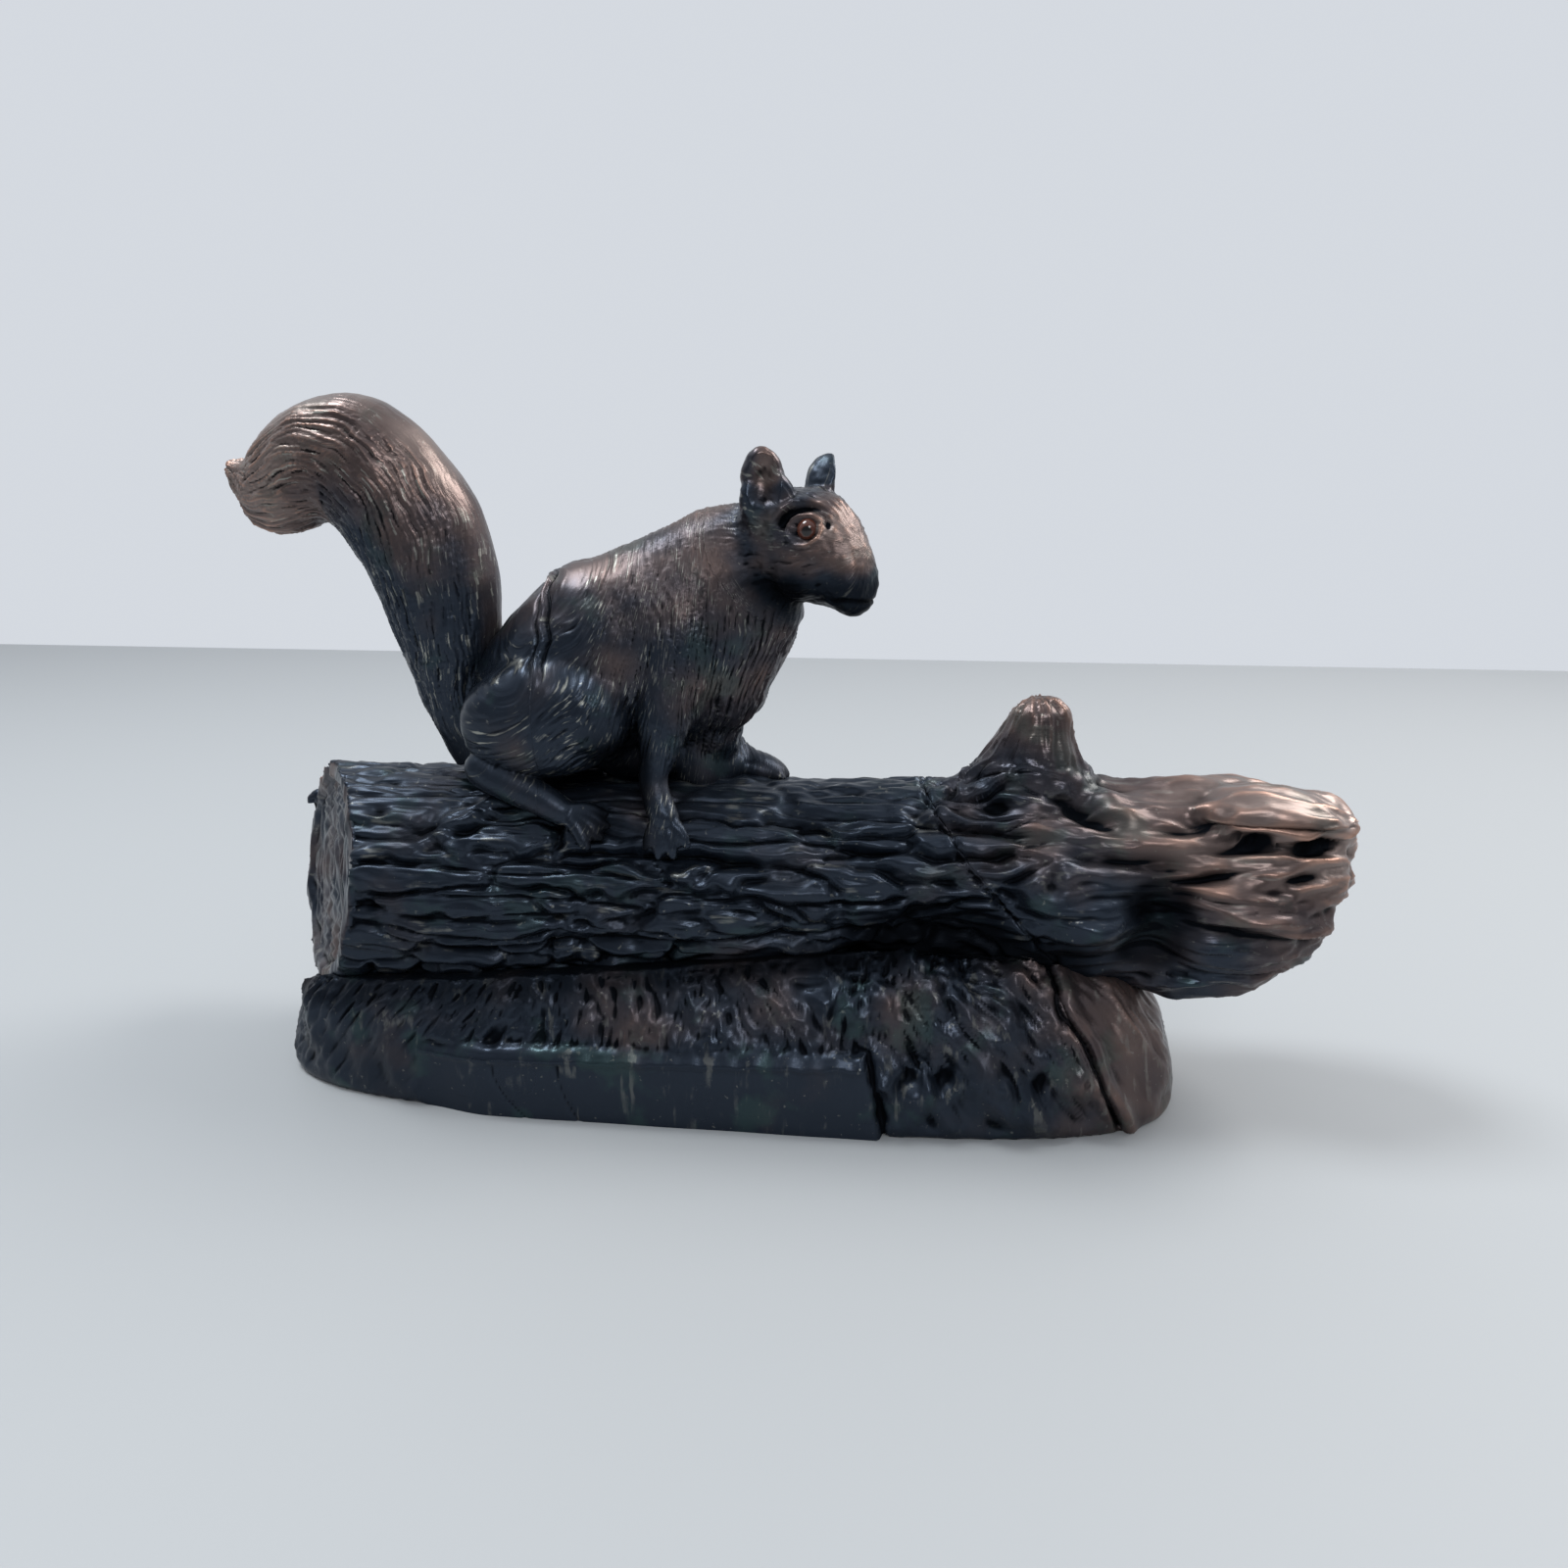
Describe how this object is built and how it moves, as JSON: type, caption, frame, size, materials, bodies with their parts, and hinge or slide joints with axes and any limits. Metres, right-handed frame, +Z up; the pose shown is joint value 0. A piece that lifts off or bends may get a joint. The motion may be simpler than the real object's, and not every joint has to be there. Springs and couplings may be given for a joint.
{
  "type": "squirrel figurine",
  "caption": "Cast metal squirrel figurine: a squirrel perched on a sawn, broken log over a grassy base with a blank front plaque band; a shelf ornament.",
  "frame": {"origin": "middle of the figure's bounding box at its underside, on the surface it stands on", "axes": "+X along the log from the cut end to the broken end, +Y away from the viewer of the plaque, +Z up"},
  "size_m": [0.1616, 0.0416, 0.0976],
  "materials": {
    "base_casting": "cast metal with a dark blue-black patina, satin, rubbed brown on the high spots",
    "log_casting": "cast metal with a dark patina, coppery brown towards the broken end",
    "squirrel_casting": "cast metal with engraved fur and a dark patina",
    "head_casting": "cast metal with engraved fur, patina rubbed to copper brown",
    "tail_casting": "cast metal with long engraved fur, copper brown towards the curl",
    "eye_bead": "glossy reddish brown bead with a dark pupil",
    "fasteners": "plain steel",
    "cover_sheet": "plain sheet steel",
    "felt": "dark green felt"
  },
  "bodies": {
    "root": {"base_shell": "base_casting", "base_right_end": "base_casting", "log_shell": "log_casting", "log_broken_end": "log_casting", "squirrel_hindquarters": "squirrel_casting", "squirrel_front_body": "squirrel_casting", "squirrel_head": "head_casting", "eye_right": "eye_bead", "eye_left": "eye_bead", "tail": "tail_casting", "tie_studs": "fasteners", "tie_washers": "fasteners", "tie_nuts": "fasteners", "base_cover": "cover_sheet", "cover_screws": "fasteners", "felt_pad": "felt"}
  },
  "joints": []
}
